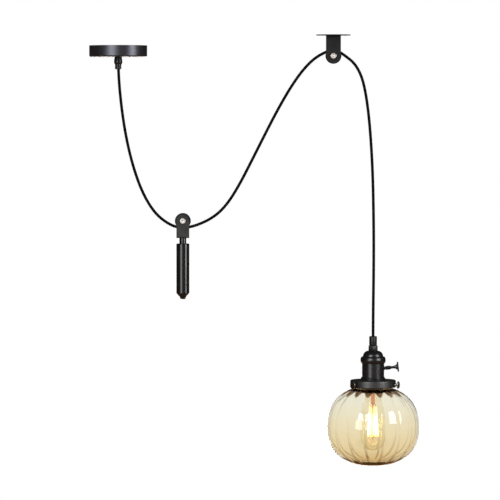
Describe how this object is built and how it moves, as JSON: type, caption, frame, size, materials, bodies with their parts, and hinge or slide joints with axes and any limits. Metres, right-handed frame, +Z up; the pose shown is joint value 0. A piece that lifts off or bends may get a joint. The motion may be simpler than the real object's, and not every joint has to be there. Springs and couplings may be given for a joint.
{
  "type": "counterweight pendant lamp",
  "caption": "Rise-and-fall pendant lamp: canopy, counterweight on a looped cord, ceiling pulley and a switched lampholder with a fluted amber glass shade.",
  "frame": {"origin": "centre of the canopy's ceiling face, on top of its mounting bar", "axes": "+Z up to the ceiling, +X from the canopy to the ceiling pulley and the lamp, -Y to the front"},
  "size_m": [0.5708, 0.16, 0.746],
  "materials": {
    "zinc_steel": "zinc plated",
    "bright_steel": "polished",
    "black_enamel": "satin",
    "grey_enamel": "fine texture",
    "black_plastic": "satin",
    "rubber_bush": "soft",
    "white_plastic": "moulded",
    "moulded_core": "moulded",
    "fibre_liner": "pressed fibre",
    "brass": "bright",
    "core_insulation": "smooth",
    "cord_sleeve": "braided",
    "amber_glass": "clear, fluted",
    "bulb_clear_glass": "clear",
    "filament_wire": "glowing wire"
  },
  "bodies": {
    "ceiling": {"mounting_bar": "zinc_steel", "canopy_cover": "black_enamel", "canopy_screws": "zinc_steel", "terminal_block": "white_plastic", "terminal_screws": "brass", "block_screw": "zinc_steel", "canopy_leads": "core_insulation", "canopy_grip_body": "black_plastic", "canopy_grip_locknut": "zinc_steel", "canopy_grip_bush": "rubber_bush", "canopy_grip_sleeve": "black_plastic", "pulley_plate": "black_enamel", "ceiling_fork": "black_enamel", "fork_rivet": "zinc_steel", "ceiling_axle": "bright_steel", "ceiling_axle_nut": "bright_steel", "cord_canopy_run": "cord_sleeve", "cord_middle_run": "cord_sleeve", "cord_lamp_run": "cord_sleeve"},
    "ceiling_pulley": {"ceiling_sheave": "black_plastic", "ceiling_sheave_bush": "brass"},
    "counterweight": {"weight_fork": "grey_enamel", "weight_axle": "bright_steel", "weight_axle_nut": "bright_steel", "weight_bolt": "zinc_steel", "weight_neck": "black_enamel", "weight_bar": "black_enamel", "weight_tip": "black_enamel"},
    "weight_pulley": {"weight_sheave": "black_plastic", "weight_sheave_bush": "brass"},
    "lamp": {"lamp_grip_cap": "black_plastic", "lamp_grip_body": "black_plastic", "lamp_grip_bush": "rubber_bush", "lamp_grip_locknut": "zinc_steel", "socket_cap": "black_enamel", "socket_shell": "black_enamel", "socket_liner": "fibre_liner", "switch_core": "moulded_core", "key_bush": "black_enamel", "screw_shell": "brass", "centre_contact": "brass", "core_terminals": "brass", "lamp_leads": "core_insulation", "shade_collar": "black_enamel", "shade_ring_nut": "zinc_steel", "shade_carrier": "black_enamel", "carrier_bosses": "zinc_steel", "glass_shade": "amber_glass"},
    "key": {"switch_key": "black_enamel"},
    "thumb_left": {"thumbscrew_left": "black_enamel"},
    "thumb_right": {"thumbscrew_right": "black_enamel"},
    "thumb_back": {"thumbscrew_back": "black_enamel"},
    "bulb": {"bulb_contact": "brass", "bulb_insulator": "moulded_core", "bulb_base": "brass", "bulb_glass": "bulb_clear_glass", "bulb_stem": "bulb_clear_glass", "bulb_filament": "filament_wire", "bulb_supports": "filament_wire"}
  },
  "joints": [
    {"name": "lamp_lift", "type": "slide", "parent": "ceiling", "child": "lamp", "axis": [0, 0, 1], "range_m": [-0.25, 0.25], "deforming": ["cord_lamp_run"]},
    {"name": "counterweight_lift", "type": "slide", "parent": "ceiling", "child": "counterweight", "axis": [0, 0, 1], "range_m": [-0.15, 0.15], "deforming": ["cord_canopy_run", "cord_middle_run"]},
    {"name": "ceiling_pulley_spin", "type": "hinge", "parent": "ceiling", "child": "ceiling_pulley", "pos_m": [0.3718, 0, -0.018], "axis": [0, 1, 0], "continuous": true},
    {"name": "weight_pulley_spin", "type": "hinge", "parent": "counterweight", "child": "weight_pulley", "pos_m": [0.1115, 0, -0.3033], "axis": [0, 1, 0], "continuous": true},
    {"name": "switch_key_turn", "type": "hinge", "parent": "lamp", "child": "key", "pos_m": [0.4408, 0, -0.56042], "axis": [0.9945, 0, 0.1045], "continuous": true},
    {"name": "thumbscrew_left_turn", "type": "hinge", "parent": "lamp", "child": "thumb_left", "pos_m": [0.4408, 0, -0.5864], "axis": [-0.7771, -0.6293, 0], "range_deg": [0, 1080]},
    {"name": "thumbscrew_right_turn", "type": "hinge", "parent": "lamp", "child": "thumb_right", "pos_m": [0.4408, 0, -0.5864], "axis": [0.9336, -0.3584, 0], "range_deg": [0, 1080]},
    {"name": "thumbscrew_back_turn", "type": "hinge", "parent": "lamp", "child": "thumb_back", "pos_m": [0.4408, 0, -0.5864], "axis": [-0.1564, 0.9877, 0], "range_deg": [0, 1080]},
    {"name": "bulb_turn", "type": "hinge", "parent": "lamp", "child": "bulb", "pos_m": [0.4408, 0, -0.6], "axis": [0, 0, -1], "range_deg": [0, 1080]}
  ],
  "couplings": [
    {"joint": "counterweight_lift", "follows": "lamp_lift", "ratio": -0.592},
    {"joint": "ceiling_pulley_spin", "follows": "lamp_lift", "rad_per_m": -86.957},
    {"joint": "weight_pulley_spin", "follows": "lamp_lift", "rad_per_m": 47.67}
  ]
}
